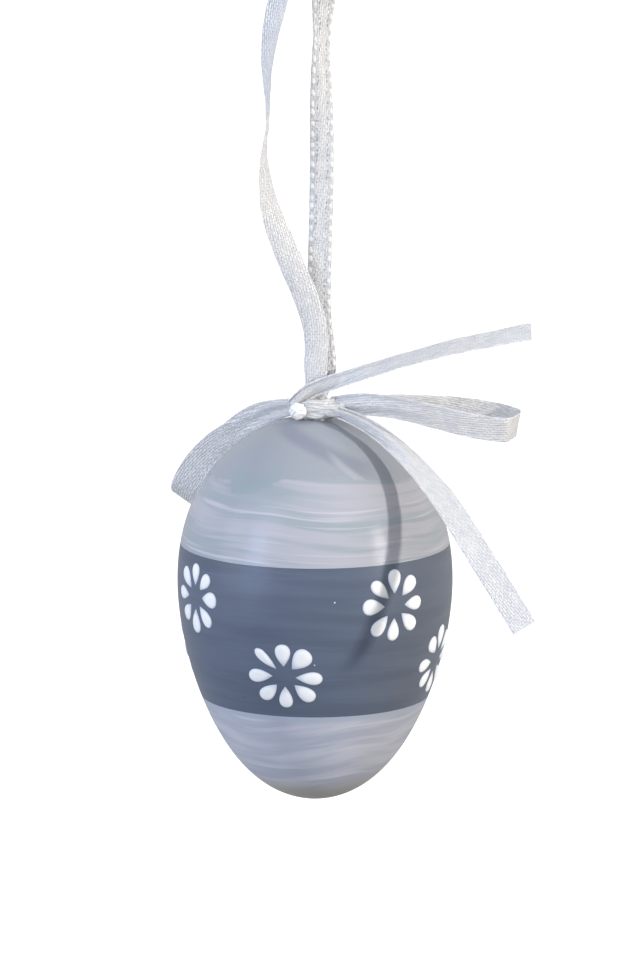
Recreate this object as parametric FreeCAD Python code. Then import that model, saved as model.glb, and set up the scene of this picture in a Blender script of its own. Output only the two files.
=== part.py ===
# Decorated hanging egg: a moulded hollow egg with painted bands and raised paint
# flowers, hung from a loop of narrow satin ribbon that is held inside by a toggle
# and finished with a small bow. Millimetres, +Z up, front towards -Y. The origin is
# the inside top of the hanging loop, where a hook or twig carries it.
import FreeCAD, Part
import math
import os

Vector = FreeCAD.Vector
os.makedirs("parts", exist_ok=True)

# Egg: blunt end up
egg_height = 49.2
girth_radius = 17.19          # radius factor of the outline; the widest radius is 17.4
egg_top_z = -62.2             # blunt pole, below the hanging point
bluntness = (0.157, 0.025, -0.073)   # skews the ellipse towards the blunt end
outline_steps = 28
slope_step = 1e-4             # radians, for the outline's slope
bisect_limit = 1e-9           # radians, for finding the outline at a height
wall_thickness = 1.2
coat_thickness = 0.12         # dried paint
hole_radius = 2.3             # ribbon hole in the blunt end
hole_depth = 5.0              # how far below the pole the hole's cut reaches
clear_above = 1.0             # cutting shapes pass the egg's poles by this
belt_top_z = -78.3
belt_bottom_z = -97.8

# Raised paint flowers on the belt: azimuth from the front, positive to the right
petal_count = 8
petal_height = 0.2
petal_tip_distance = 1.55     # flower centre to the petal's point
petal_round_distance = 3.5    # flower centre to the middle of the round end
petal_round_radius = 1.05
petal_cutter_depth = 2.0      # each petal's prism reaches this far in and out of the surface
upper_flower_z = -83.6
lower_flower_z = -92.0
upper_flower_azimuths = (-57.5, 33.0, 123.0, 213.0)
lower_flower_azimuths = (-12.5, 70.0, 164.0, 256.0)

# Toggle inside the egg, under the hole
toggle_radius = 1.2
toggle_length = 11.0
toggle_rounding = 0.3
toggle_z = -66.2

# Ribbon
ribbon_thickness = 0.25
arc_share = 0.45              # part of the shorter run that a tangent arc takes up
arc_steps = 4                 # ribbon stations along half an arc

# Bow knot, tied round the hanging ribbon on top of the egg
knot_size = (5.6, 3.7, 2.0)
knot_centre = Vector(0.0, -0.4, -60.9)
knot_rounding = 0.95
knot_ball_radius = 0.95
knot_ball_centre = Vector(-2.15, -2.6, -61.1)

egg_half_height = egg_height / 2
egg_centre_z = egg_top_z - egg_half_height

# Routes: x, y, z, the direction across the ribbon, and half its width there
hanging_route = [
    (0.2, -0.5, -54.2, (1.0, 0.0, 0.0), 1.6),
    (0.3, -0.5, -51.8, (1.0, 0.0, 0.0), 1.65),
    (-0.9, -0.8, -47.4, (1.0, 0.1, 0.0), 1.65),
    (-3.5, -1.4, -41.4, (0.98, 0.17, 0.0), 1.65),
    (-5.9, -2.0, -35.0, (0.71, 0.71, 0.0), 1.65),
    (-6.4, -2.2, -28.7, (0.21, 0.98, 0.0), 1.65),
    (-5.7, -2.3, -22.4, (-0.17, 0.98, 0.0), 1.65),
    (-6.0, -2.2, -16.8, (-0.5, 0.87, 0.0), 1.65),
    (-5.0, -2.2, -11.1, (-0.79, 0.62, 0.0), 1.65),
    (-3.6, -2.3, -6.1, (-0.8, 0.6, 0.0), 1.65),
    (-2.7, -2.3, -2.4, (-0.75, 0.66, 0.0), 1.65),
    (-1.1, -1.1, 0.125, (-0.71, 0.71, 0.0), 1.65),
    (1.1, 1.1, 0.125, (-0.71, 0.71, 0.0), 1.65),
    (2.4, 2.3, -2.4, (-0.71, 0.71, 0.0), 1.65),
    (1.3, 2.3, -7.0, (-0.7, 0.71, 0.0), 1.65),
    (0.9, 2.0, -13.6, (-0.74, 0.67, 0.0), 1.65),
    (0.8, 1.5, -20.4, (-0.91, 0.42, 0.0), 1.65),
    (0.9, 1.2, -27.3, (-0.99, 0.14, 0.0), 1.65),
    (0.8, 1.0, -34.9, (-1.0, 0.0, 0.0), 1.6),
    (0.6, 0.7, -42.4, (-1.0, 0.0, 0.0), 1.6),
    (0.4, 0.5, -49.4, (-1.0, 0.0, 0.0), 1.65),
    (0.9, 0.45, -54.2, (-1.0, 0.0, 0.0), 1.65),
]
sling_route = [
    (0.3, -0.5, -55.3, (1.0, 0.0, 0.0), 1.6),
    (0.35, -0.55, -57.0, (1.0, 0.0, 0.0), 1.5),
    (0.2, -0.45, -58.9, (1.0, 0.0, 0.0), 1.45),
    (0.05, -0.5, -60.8, (1.0, 0.0, 0.0), 1.4),
    (0.0, -0.45, -62.7, (1.0, 0.0, 0.0), 1.4),
    (0.0, -1.33, -64.9, (1.0, 0.0, 0.0), 1.5),
    (0.0, -1.33, -67.53, (1.0, 0.0, 0.0), 1.6),
    (0.0, 1.33, -67.53, (1.0, 0.0, 0.0), 1.6),
    (0.0, 1.33, -64.9, (1.0, 0.0, 0.0), 1.5),
    (0.0, 0.45, -62.7, (1.0, 0.0, 0.0), 1.4),
    (0.1, 0.5, -60.8, (1.0, 0.0, 0.0), 1.4),
    (0.4, 0.45, -58.9, (1.0, 0.0, 0.0), 1.45),
    (0.7, 0.55, -57.0, (1.0, 0.0, 0.0), 1.6),
    (0.9, 0.45, -55.3, (1.0, 0.0, 0.0), 1.65),
]
upper_tail_route = [
    (-2.8, -1.7, -60.6, (0.29, 0.0, 0.96), 0.8),
    (-1.8, -1.6, -59.5, (-0.45, 0.0, 0.89), 0.95),
    (0.3, -1.4, -58.2, (-0.28, 0.19, 0.94), 1.1),
    (3.1, -1.9, -57.1, (-0.2, 0.72, 0.67), 1.4),
    (7.5, -3.0, -55.5, (-0.21, 0.88, 0.42), 1.65),
    (14.1, -4.3, -53.3, (-0.2, 0.9, 0.39), 1.65),
    (20.6, -5.2, -51.7, (-0.2, 0.88, 0.43), 1.65),
    (27.0, -6.0, -50.4, (-0.1, 0.85, 0.51), 1.65),
]
lower_tail_route = [
    (1.8, -2.0, -61.1, (0.29, 0.1, 0.95), 0.7),
    (4.0, -3.8, -61.4, (0.41, 0.41, 0.82), 0.8),
    (7.0, -6.6, -62.4, (0.5, 0.7, 0.5), 1.0),
    (10.1, -9.2, -64.3, (0.6, 0.7, 0.4), 1.3),
    (13.2, -12.0, -66.9, (0.7, 0.55, 0.45), 1.5),
    (16.4, -15.4, -70.4, (0.81, 0.3, 0.51), 1.65),
    (19.5, -19.0, -74.8, (0.86, 0.1, 0.5), 1.65),
    (22.6, -22.5, -79.3, (0.86, 0.0, 0.51), 1.65),
    (25.7, -26.0, -83.9, (0.86, 0.0, 0.51), 1.65),
]
right_loop_route = [
    (1.9, -0.9, -61.0, (0.0, 0.0, 1.0), 0.75),
    (4.6, -2.4, -60.6, (0.0, 0.0, 1.0), 0.9),
    (8.9, -4.4, -60.2, (0.0, 0.0, 1.0), 1.2),
    (13.8, -5.4, -61.1, (0.0, 0.0, 1.0), 1.5),
    (18.5, -5.7, -62.3, (0.0, 0.0, 1.0), 1.65),
    (23.0, -5.4, -63.1, (0.0, 0.0, 1.0), 1.65),
    (25.2, -2.5, -63.1, (0.0, 0.0, 1.0), 1.65),
    (25.7, 1.6, -63.4, (0.0, 0.0, 1.0), 1.65),
    (23.8, 4.1, -63.1, (0.0, 0.0, 1.0), 1.65),
    (19.3, 4.2, -62.3, (0.0, 0.0, 1.0), 1.65),
    (14.3, 3.4, -61.7, (0.0, 0.0, 1.0), 1.5),
    (8.8, 2.0, -61.0, (0.0, 0.0, 1.0), 1.2),
    (4.4, 1.2, -61.0, (0.0, 0.0, 1.0), 0.9),
    (2.0, 0.7, -61.0, (0.0, 0.0, 1.0), 0.75),
]
left_loop_route = [
    (-1.9, -0.6, -61.0, (0.0, 0.0, 1.0), 0.75),
    (-4.3, 1.2, -61.6, (-0.1, -0.2, 1.0), 0.8),
    (-6.8, 3.6, -62.8, (-0.3, -0.5, 0.8), 0.9),
    (-10.2, 6.0, -65.1, (-0.5, -0.45, 0.75), 1.3),
    (-13.3, 6.8, -67.6, (-0.72, -0.2, 0.67), 1.6),
    (-15.6, 6.8, -70.3, (-0.89, 0.0, 0.45), 1.65),
    (-16.9, 7.1, -72.8, (-0.86, 0.0, 0.51), 1.65),
    (-17.0, 9.6, -74.8, (-0.8, 0.1, 0.6), 1.65),
    (-16.0, 12.9, -75.0, (-0.78, 0.2, 0.59), 1.65),
    (-14.4, 14.2, -72.4, (-0.75, 0.3, 0.6), 1.65),
    (-11.6, 12.0, -67.4, (-0.51, 0.3, 0.81), 1.65),
    (-8.0, 7.6, -63.7, (-0.29, 0.0, 0.96), 1.4),
    (-4.9, 3.3, -61.9, (0.0, 0.0, 1.0), 1.0),
    (-1.9, 0.8, -60.9, (0.0, 0.0, 1.0), 0.75),
]


def outline_point(angle, grow):
    """Point of the egg's half outline in XZ, angle from the blunt pole, grown outwards."""
    height = math.cos(angle)
    swell = 1.0
    for power, factor in enumerate(bluntness, start=1):
        swell += factor * height ** power
    radius = (girth_radius + grow) * math.sin(angle) * swell
    return Vector(radius, 0, egg_centre_z + (egg_half_height + grow) * height)


def half_egg(grow):
    """The egg's half outline in XZ as a flat face, its edge moved outwards by grow."""
    points = [outline_point(math.pi * step / outline_steps, grow) for step in range(outline_steps + 1)]
    points[0].x = 0
    points[-1].x = 0
    outline = Part.BSplineCurve()
    outline.interpolate(Points=points, InitialTangent=Vector(1, 0, 0), FinalTangent=Vector(-1, 0, 0))
    axis_edge = Part.makeLine(points[-1], points[0])
    return Part.Face(Part.Wire([outline.toShape(), axis_edge]))


def flat_strip(reach, low_z, high_z):
    """A rectangle in XZ from the axis out to reach, between two heights."""
    corners = [Vector(0, 0, low_z), Vector(reach, 0, low_z), Vector(reach, 0, high_z), Vector(0, 0, high_z)]
    return Part.Face(Part.makePolygon(corners + corners[:1]))


def turned(profile):
    """The solid that a flat profile sweeps round the egg's axis."""
    solid = Part.Solid(profile.Faces[0].revolve(Vector(0, 0, 0), Vector(0, 0, 1), 360))
    if solid.Volume < 0:
        solid.reverse()
    return solid


def flower_frame(azimuth, height_z):
    """Centre, rightward, upward and outward directions on the egg's surface."""
    low = 0.0
    high = math.pi
    while high - low > bisect_limit:
        middle = (low + high) / 2
        if outline_point(middle, 0).z > height_z:
            low = middle
        else:
            high = middle
    here = outline_point(low, 0)
    slope = outline_point(low + slope_step, 0) - outline_point(low - slope_step, 0)
    slope.normalize()
    turn = math.radians(azimuth)
    radial = Vector(math.sin(turn), -math.cos(turn), 0)
    centre = radial * here.x + Vector(0, 0, here.z)
    right = Vector(math.cos(turn), math.sin(turn), 0)
    upward = radial * (-slope.x) + Vector(0, 0, -slope.z)
    outward = radial * (-slope.z) + Vector(0, 0, slope.x)
    return centre, right, upward, outward


def petal_prism(frame, angle):
    """A teardrop with its point towards the flower's centre, as a short upright prism."""
    centre, right, upward, outward = frame
    reach = petal_round_distance - petal_tip_distance
    flank = math.asin(petal_round_radius / reach)

    def place(distance, swing, radius):
        along = distance + radius * math.cos(swing)
        across = radius * math.sin(swing)
        u = along * math.cos(angle) - across * math.sin(angle)
        v = along * math.sin(angle) + across * math.cos(angle)
        return centre + right * u + upward * v - outward * petal_cutter_depth

    tip = place(petal_tip_distance, 0, 0)
    first = place(petal_round_distance, math.pi / 2 + flank, petal_round_radius)
    last = place(petal_round_distance, -math.pi / 2 - flank, petal_round_radius)
    far = place(petal_round_distance, 0, petal_round_radius)
    edges = [
        Part.makeLine(tip, first),
        Part.Arc(first, far, last).toShape(),
        Part.makeLine(last, tip),
    ]
    return Part.Face(Part.Wire(edges)).extrude(outward * (2 * petal_cutter_depth))


def flower(azimuth, height_z, paint_skin):
    """Eight raised drops of paint lying on the belt."""
    frame = flower_frame(azimuth, height_z)
    prisms = [petal_prism(frame, 2 * math.pi * index / petal_count) for index in range(petal_count)]
    return Part.makeCompound([paint_skin.common(prism).Solids[0] for prism in prisms])


def route_wire(name, route):
    """Straight runs joined by tangent arcs, with each station's place along the route."""
    points = [Vector(*row[:3]) for row in route]
    runs = [after - before for before, after in zip(points, points[1:])]
    edges = []
    stations = [(points[0], Vector(runs[0]).normalize(), 0.0)]
    start = points[0]
    radii = []
    for index in range(1, len(points) - 1):
        back = Vector(runs[index - 1]).normalize()
        ahead = Vector(runs[index]).normalize()
        turn = back.getAngle(ahead)
        setback = arc_share * min(runs[index - 1].Length, runs[index].Length)
        radius = setback / math.tan(turn / 2)
        radii.append(round(radius, 1))
        inward = Vector(ahead - back).normalize()
        enter = points[index] - back * setback
        leave = points[index] + ahead * setback
        middle = points[index] + inward * (radius / math.cos(turn / 2) - radius)
        edges.append(Part.makeLine(start, enter))
        arc = Part.Arc(enter, middle, leave).toShape()
        edges.append(arc)
        share_before = setback / runs[index - 1].Length
        share_after = setback / runs[index].Length
        first, last = arc.ParameterRange
        for step in range(2 * arc_steps + 1):
            share = step / (2 * arc_steps)
            parameter = first + (last - first) * share
            if share < 0.5:
                place = index - share_before * (1 - 2 * share)
            else:
                place = index + share_after * (2 * share - 1)
            stations.append((arc.valueAt(parameter), arc.tangentAt(parameter), place))
        start = leave
    edges.append(Part.makeLine(start, points[-1]))
    stations.append((points[-1], Vector(runs[-1]).normalize(), float(len(points) - 1)))
    wire = Part.Wire(edges)
    print(name, "length", round(wire.Length, 1), "radii", radii)
    return wire, stations


def ribbon_band(name, route):
    """A flat ribbon of rectangular section along the route, ruled from station to station."""
    wire, stations = route_wire(name, route)
    sections = []
    area_sum = 0.0
    for centre, tangent, place in stations:
        index = min(int(place), len(route) - 2)
        share = place - index
        across = Vector(*route[index][3]) * (1 - share) + Vector(*route[index + 1][3]) * share
        half_width = route[index][4] * (1 - share) + route[index + 1][4] * share
        across = across - tangent * across.dot(tangent)
        across.normalize()
        through = tangent.cross(across) * (ribbon_thickness / 2)
        side = across * half_width
        corners = [centre - side - through, centre + side - through,
                   centre + side + through, centre - side + through]
        sections.append(Part.makePolygon(corners + corners[:1]))
        area_sum += 2 * half_width * ribbon_thickness
    band = Part.Solid(Part.makeLoft(sections, True, True))
    if band.Volume < 0:
        band.reverse()
    mean_area = area_sum / len(stations)
    print(name, "volume", round(band.Volume, 1), "section x length", round(mean_area * wire.Length, 1))
    return band


def knot_solid():
    """The wrapped bar of the bow's knot with the small folded ball at its left end."""
    size = Vector(*knot_size)
    bar = Part.makeBox(size.x, size.y, size.z, knot_centre - size / 2)
    bar = bar.makeFillet(knot_rounding, bar.Edges)
    ball = Part.makeSphere(knot_ball_radius, knot_ball_centre)
    return bar.fuse(ball)


def save(node, shape):
    solids = shape.Solids
    print(node, len(solids), "solids, valid", shape.isValid(), "volume", round(shape.Volume, 2))
    shape.exportStep("parts/" + node + ".step")


# Egg shell, paint bands and flowers
painted_half = half_egg(0)
bare_half = half_egg(-coat_thickness)
cavity_half = half_egg(-coat_thickness - wall_thickness)
egg_bottom_z = egg_top_z - egg_height
beyond = 2 * girth_radius
above_z = egg_top_z + clear_above
below_z = egg_bottom_z - clear_above
hole_strip = flat_strip(hole_radius, egg_top_z - hole_depth, above_z)
belt_strip = flat_strip(beyond, belt_bottom_z, belt_top_z)
save("egg_shell", turned(bare_half.cut(cavity_half).cut(hole_strip)))
upper_half = painted_half.common(flat_strip(beyond, belt_top_z, above_z))
save("upper_coat", turned(upper_half.cut(hole_strip).cut(bare_half)))
save("belt_coat", turned(painted_half.common(belt_strip).cut(bare_half)))
lower_half = painted_half.common(flat_strip(beyond, below_z, belt_bottom_z))
save("lower_coat", turned(lower_half.cut(bare_half)))

paint_skin = turned(half_egg(petal_height).common(belt_strip).cut(painted_half))
for row_name, height_z, azimuths in (("upper", upper_flower_z, upper_flower_azimuths),
                                     ("lower", lower_flower_z, lower_flower_azimuths)):
    for number, azimuth in enumerate(azimuths, start=1):
        save(f"flower_{row_name}_{number}", flower(azimuth, height_z, paint_skin))

# Toggle and the hanging ribbon
toggle = Part.makeCylinder(toggle_radius, toggle_length,
                           Vector(-toggle_length / 2, 0, toggle_z), Vector(1, 0, 0))
save("toggle", toggle.makeFillet(toggle_rounding, [toggle.Edges[0], toggle.Edges[2]]))
sling = ribbon_band("ribbon_sling", sling_route)
save("ribbon_sling", sling)
save("hanging_loop", ribbon_band("hanging_loop", hanging_route))

# Bow
knot = knot_solid().cut(sling)
save("bow_knot", knot)
for node, route in (("bow_tail_upper", upper_tail_route), ("bow_tail_lower", lower_tail_route),
                    ("bow_loop_left", left_loop_route), ("bow_loop_right", right_loop_route)):
    save(node, ribbon_band(node, route).cut(knot))
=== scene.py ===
# Painted craft egg hanging from a satin ribbon with a bow: its looks, built round the
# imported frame. Metres, +Z up, front towards -Y, origin at the top of the hanging loop.
import bmesh
import bpy
import math
import random
from mathutils import Matrix, Vector, noise


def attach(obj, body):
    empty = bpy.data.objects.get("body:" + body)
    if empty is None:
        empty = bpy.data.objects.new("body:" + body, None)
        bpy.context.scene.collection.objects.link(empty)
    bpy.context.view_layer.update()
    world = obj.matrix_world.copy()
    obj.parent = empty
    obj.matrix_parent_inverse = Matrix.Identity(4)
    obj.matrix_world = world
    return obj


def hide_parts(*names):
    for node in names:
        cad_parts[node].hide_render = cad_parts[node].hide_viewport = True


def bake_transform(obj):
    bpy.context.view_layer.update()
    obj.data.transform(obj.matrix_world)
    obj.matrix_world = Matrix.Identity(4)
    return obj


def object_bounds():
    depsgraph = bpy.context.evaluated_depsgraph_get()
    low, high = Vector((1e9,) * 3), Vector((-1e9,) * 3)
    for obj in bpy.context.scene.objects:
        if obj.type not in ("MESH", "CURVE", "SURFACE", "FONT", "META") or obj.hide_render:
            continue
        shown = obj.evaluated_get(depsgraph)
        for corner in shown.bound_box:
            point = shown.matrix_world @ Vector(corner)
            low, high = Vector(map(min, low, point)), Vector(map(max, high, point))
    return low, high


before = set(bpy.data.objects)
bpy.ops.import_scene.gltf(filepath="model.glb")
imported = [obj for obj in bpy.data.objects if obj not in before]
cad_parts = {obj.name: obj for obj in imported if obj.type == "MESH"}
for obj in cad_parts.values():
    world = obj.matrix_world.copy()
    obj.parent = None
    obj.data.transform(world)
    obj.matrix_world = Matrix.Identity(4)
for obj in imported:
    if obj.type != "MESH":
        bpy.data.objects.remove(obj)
cadLow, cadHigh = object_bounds()
millimetre = 0.001


# Camera, floor and light

studio = {
    "lookAt": (0.00063, 0.0, -0.0704),
    "distance": 0.9,
    "elevation": 11.0,             # degrees above the horizon
    "lens": 267.6,
    "sensor": 36.0,
    "floorDrop": 0.16,             # the egg hangs this far above the floor
    "floorSize": 14.0,
    "floorGlow": 0.6,
    "lampTarget": (0.0, 0.0, -0.0868),   # the middle of the egg
    "skyStrength": 0.87,           # even light from above and around
    "groundStrength": 0.50,        # weaker light from below
}
# keyLamp gives the body light and the sharp shadow, keyGleam only its long highlight
lamps = {
    # direction from the egg, distance, (width, height), power in watts, colour
    "keyLamp": ((0.861, -0.428, 0.275), 0.8, (0.04, 0.06), 4.6, "#fff6eb"),
    "keyGleam": ((0.845, -0.490, 0.235), 0.8, (0.02, 0.36), 1.2, "#ffffff"),
    "leftStrip": ((-0.78, -0.60, 0.16), 0.8, (0.22, 0.55), 1.5, "#a8c8ff"),
    "leftSoft": ((-0.85, -0.45, 0.30), 1.1, (1.0, 1.2), 4.9, "#f2f5fc"),
}


def linearColour(hexText):
    channels = [int(hexText[place:place + 2], 16) / 255 for place in (1, 3, 5)]
    return [c / 12.92 if c <= 0.04045 else ((c + 0.055) / 1.055) ** 2.4 for c in channels] + [1.0]


def addNode(tree, kind, inputs=None, **settings):
    # one node: its settings, then each input: a node (its first live output), a socket to
    # link, a hex colour or a plain value
    node = tree.nodes.new("ShaderNode" + kind)
    for setting, value in settings.items():
        setattr(node, setting, value)
    for socket, value in (inputs or {}).items():
        if isinstance(value, bpy.types.Node):
            value = next(output for output in value.outputs if output.enabled)
        elif isinstance(value, str):
            value = linearColour(value)
        if isinstance(value, bpy.types.NodeSocket):
            tree.links.new(value, node.inputs[socket])
        else:
            node.inputs[socket].default_value = value
    return node


def blankMaterial(name):
    material = bpy.data.materials.new(name)
    material.use_nodes = True
    material.node_tree.nodes.clear()
    return material, material.node_tree


def aimAt(thing, place, target):
    thing.location = place
    thing.rotation_euler = (Vector(target) - Vector(place)).to_track_quat("-Z", "Y").to_euler()


def setUpStudio():
    scene = bpy.context.scene
    scene.view_settings.view_transform = "Standard"
    target = Vector(studio["lookAt"])
    rise = math.radians(studio["elevation"])

    camera = bpy.data.objects.new("camera", bpy.data.cameras.new("camera"))
    camera.data.lens = studio["lens"]
    camera.data.sensor_width = studio["sensor"]
    back = Vector((0.0, -math.cos(rise), math.sin(rise)))
    aimAt(camera, target + back * studio["distance"], target)
    camera.data.clip_start = 0.01
    camera.data.clip_end = 50.0
    scene.collection.objects.link(camera)
    scene.camera = camera

    # white all round to the eye, with less light from below than from above
    world = bpy.data.worlds.new("pale room")
    world.use_nodes = True
    tree = world.node_tree
    tree.nodes.clear()
    around = addNode(tree, "TexCoord").outputs["Generated"]
    upward = addNode(tree, "SeparateXYZ", {"Vector": around}).outputs["Z"]
    strength = addNode(tree, "MapRange", {"Value": upward, "From Min": -0.6, "From Max": 0.5,
                                          "To Min": studio["groundStrength"],
                                          "To Max": studio["skyStrength"]})
    light = addNode(tree, "Background", {"Strength": strength})
    seen = addNode(tree, "Background", {"Color": "#ffffff"})
    toCamera = addNode(tree, "LightPath").outputs["Is Camera Ray"]
    both = addNode(tree, "MixShader", {0: toCamera, 1: light, 2: seen})
    addNode(tree, "OutputWorld", {"Surface": both})
    scene.world = world

    for name, (direction, distance, size, power, colour) in lamps.items():
        light = bpy.data.lights.new(name, "AREA")
        light.shape = "RECTANGLE"
        light.size, light.size_y = size
        light.energy = power
        light.color = linearColour(colour)[:3]
        lamp = bpy.data.objects.new(name, light)
        middle = Vector(studio["lampTarget"])
        aimAt(lamp, middle + Vector(direction).normalized() * distance, middle)
        lamp.visible_camera = False
        lamp.visible_glossy = name != "keyLamp"
        lamp.visible_diffuse = name != "keyGleam"
        scene.collection.objects.link(lamp)

    # white matt paper: nothing but an even pale tone
    paper, tree = blankMaterial("white matt paper")
    surface = addNode(tree, "BsdfPrincipled", {"Base Color": "#f4f4f4", "Roughness": 0.9,
                                               "Emission Color": "#ffffff",
                                               "Emission Strength": studio["floorGlow"]})
    addNode(tree, "OutputMaterial", {"Surface": surface})
    bm = bmesh.new()
    floorZ = cadLow.z - studio["floorDrop"]
    bmesh.ops.create_grid(bm, x_segments=1, y_segments=1, size=studio["floorSize"] / 2,
                          matrix=Matrix.Translation((0.0, 0.0, floorZ)))
    mesh = bpy.data.meshes.new("floor")
    bm.to_mesh(mesh)
    bm.free()
    mesh.materials.append(paper)
    floor = bpy.data.objects.new("floor", mesh)
    floor.visible_diffuse = False
    floor.visible_glossy = False
    scene.collection.objects.link(floor)
    print("studio ready")


# Satin ribbon

ribbonCloth = {
    "halfWidth": 0.00165,          # with its picot edges
    "clothShare": 0.93,            # the woven band inside the picots
    "thickness": 0.00020,
    "sharpEdge": 60.0,             # degrees
    "step": 0.00035,               # between rows of the mesh
    "acrossSteps": 14,
    "picotPitch": 0.00132,
    "picotJitter": 0.06,           # of the pitch, either way
    "picotFade": 0.006,            # the picots come and go over this length
    "picotPlace": 0.71,            # of the half width
    "picotRadii": (0.00033, 0.00050, 0.00025),   # across, along, through the cloth
    "picotLengths": (0.85, 1.15),  # how far the beads differ
    "picotHeights": (0.8, 1.15),
    "picotGather": 0.35,           # a bead's width where the ribbon is gathered to nothing
    "ripple": 0.00011,             # how far handling has dented the cloth
    "rippleLength": 0.0021,
    "rippleWidth": 0.6,            # dents across the half width
    "cupRest": 0.3,                # where across, squared, a cupped ribbon crosses its flat line
    "pleats": 1.5,                 # lengthwise folds where the knot gathers it
    "pleatDepth": 0.0011,
}
# Each row: place, direction across the ribbon, half width there
hangingRoute = [
    ((0.0, 0.0009, -0.06765), (1.0, 0.0, 0.0), 0.0016),
    ((0.0, -0.00133, -0.06753), (1.0, 0.0, 0.0), 0.0016),
    ((0.0, -0.00133, -0.0649), (1.0, 0.0, 0.0), 0.0015),
    ((0.0, -0.00045, -0.0627), (1.0, 0.0, 0.0), 0.0014),
    ((0.00005, -0.0005, -0.0608), (1.0, 0.0, 0.0), 0.0014),
    ((0.0002, -0.00045, -0.0589), (1.0, 0.0, 0.0), 0.00145),
    ((0.0001, -0.00055, -0.0570), (1.0, 0.0, 0.0), 0.0015),
    ((0.0001, -0.0005, -0.0553), (1.0, 0.0, 0.0), 0.0016),
    ((0.0003, -0.0005, -0.0518), (1.0, 0.0, 0.0), 0.00165),
    ((-0.0009, -0.0008, -0.0474), (1.0, 0.1, 0.0), 0.00165),
    ((-0.0035, -0.0014, -0.0414), (0.98, 0.17, 0.0), 0.00165),
    ((-0.0059, -0.0020, -0.0350), (0.71, 0.71, 0.0), 0.00165),
    ((-0.0064, -0.0022, -0.0287), (0.21, 0.98, 0.0), 0.00165),
    ((-0.0057, -0.0023, -0.0224), (-0.17, 0.98, 0.0), 0.00165),
    ((-0.0060, -0.0022, -0.0168), (-0.5, 0.87, 0.0), 0.00165),
    ((-0.0050, -0.0022, -0.0111), (-0.79, 0.62, 0.0), 0.00165),
    ((-0.0036, -0.0023, -0.0061), (-0.8, 0.6, 0.0), 0.00165),
    ((-0.0027, -0.0023, -0.0024), (-0.75, 0.66, 0.0), 0.00165),
    ((-0.0011, -0.0011, 0.000125), (-0.71, 0.71, 0.0), 0.00165),
    ((0.0011, 0.0011, 0.000125), (-0.71, 0.71, 0.0), 0.00165),
    ((0.0024, 0.0023, -0.0024), (-0.71, 0.71, 0.0), 0.00165),
    ((0.0013, 0.0023, -0.0070), (-1.0, 0.1, 0.0), 0.00165),
    ((0.0009, 0.0020, -0.0136), (-0.64, -0.77, 0.0), 0.00165),
    ((0.0008, 0.0015, -0.0204), (-0.85, -0.53, 0.0), 0.00165),
    ((0.0009, 0.0012, -0.0273), (-0.99, -0.14, 0.0), 0.00165),
    ((0.0008, 0.0010, -0.0349), (-1.0, 0.0, 0.0), 0.0016),
    ((0.0006, 0.0007, -0.0424), (-1.0, 0.0, 0.0), 0.0016),
    ((0.0004, 0.0005, -0.0494), (-1.0, 0.0, 0.0), 0.00165),
    ((0.0012, 0.00045, -0.0553), (-1.0, 0.0, 0.0), 0.00165),
    ((0.0011, 0.00055, -0.0570), (-1.0, 0.0, 0.0), 0.0016),
    ((0.0004, 0.00045, -0.0589), (-1.0, 0.0, 0.0), 0.00145),
    ((0.0001, 0.0005, -0.0608), (-1.0, 0.0, 0.0), 0.0014),
    ((0.0, 0.00045, -0.0627), (-1.0, 0.0, 0.0), 0.0014),
    ((0.0, 0.00133, -0.0649), (-1.0, 0.0, 0.0), 0.0015),
    ((0.0, 0.00133, -0.06753), (-1.0, 0.0, 0.0), 0.0016),
    ((0.0, -0.0009, -0.0679), (-1.0, 0.0, 0.0), 0.0016),
]
upperTailRoute = [
    ((-0.0028, -0.0017, -0.0606), (0.29, 0.0, 0.96), 0.0008),
    ((-0.0018, -0.0016, -0.0595), (-0.45, 0.0, 0.89), 0.00095),
    ((0.0003, -0.0014, -0.0583), (-0.28, 0.19, 0.94), 0.00095),
    ((0.0031, -0.0019, -0.0572), (-0.2, 0.72, 0.60), 0.0011),
    ((0.0075, -0.0030, -0.0556), (-0.21, 0.88, 0.32), 0.0015),
    ((0.0141, -0.0043, -0.0534), (-0.2, 0.9, 0.30), 0.00165),
    ((0.0206, -0.0052, -0.0517), (-0.2, 0.88, 0.37), 0.00165),
    ((0.0270, -0.0060, -0.0504), (-0.1, 0.85, 0.51), 0.00165),
]
lowerTailRoute = [
    ((0.0018, -0.0020, -0.0611), (0.29, 0.1, 0.95), 0.0007),
    ((0.0040, -0.0038, -0.0614), (0.37, 0.30, 0.88), 0.0008),
    ((0.0070, -0.0066, -0.0624), (0.42, 0.40, 0.81), 0.00095),
    ((0.0101, -0.0085, -0.0644), (0.56, 0.58, 0.59), 0.0012),
    ((0.0132, -0.0110, -0.0671), (0.7, 0.6, 0.45), 0.0015),
    ((0.0164, -0.0147, -0.0705), (0.76, 0.48, 0.47), 0.0017),
    ((0.0195, -0.0188, -0.0749), (0.79, 0.40, 0.47), 0.00172),
    ((0.0226, -0.0227, -0.0793), (0.82, 0.30, 0.49), 0.0017),
    ((0.0257, -0.0260, -0.0839), (0.86, 0.1, 0.51), 0.00165),
]
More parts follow.
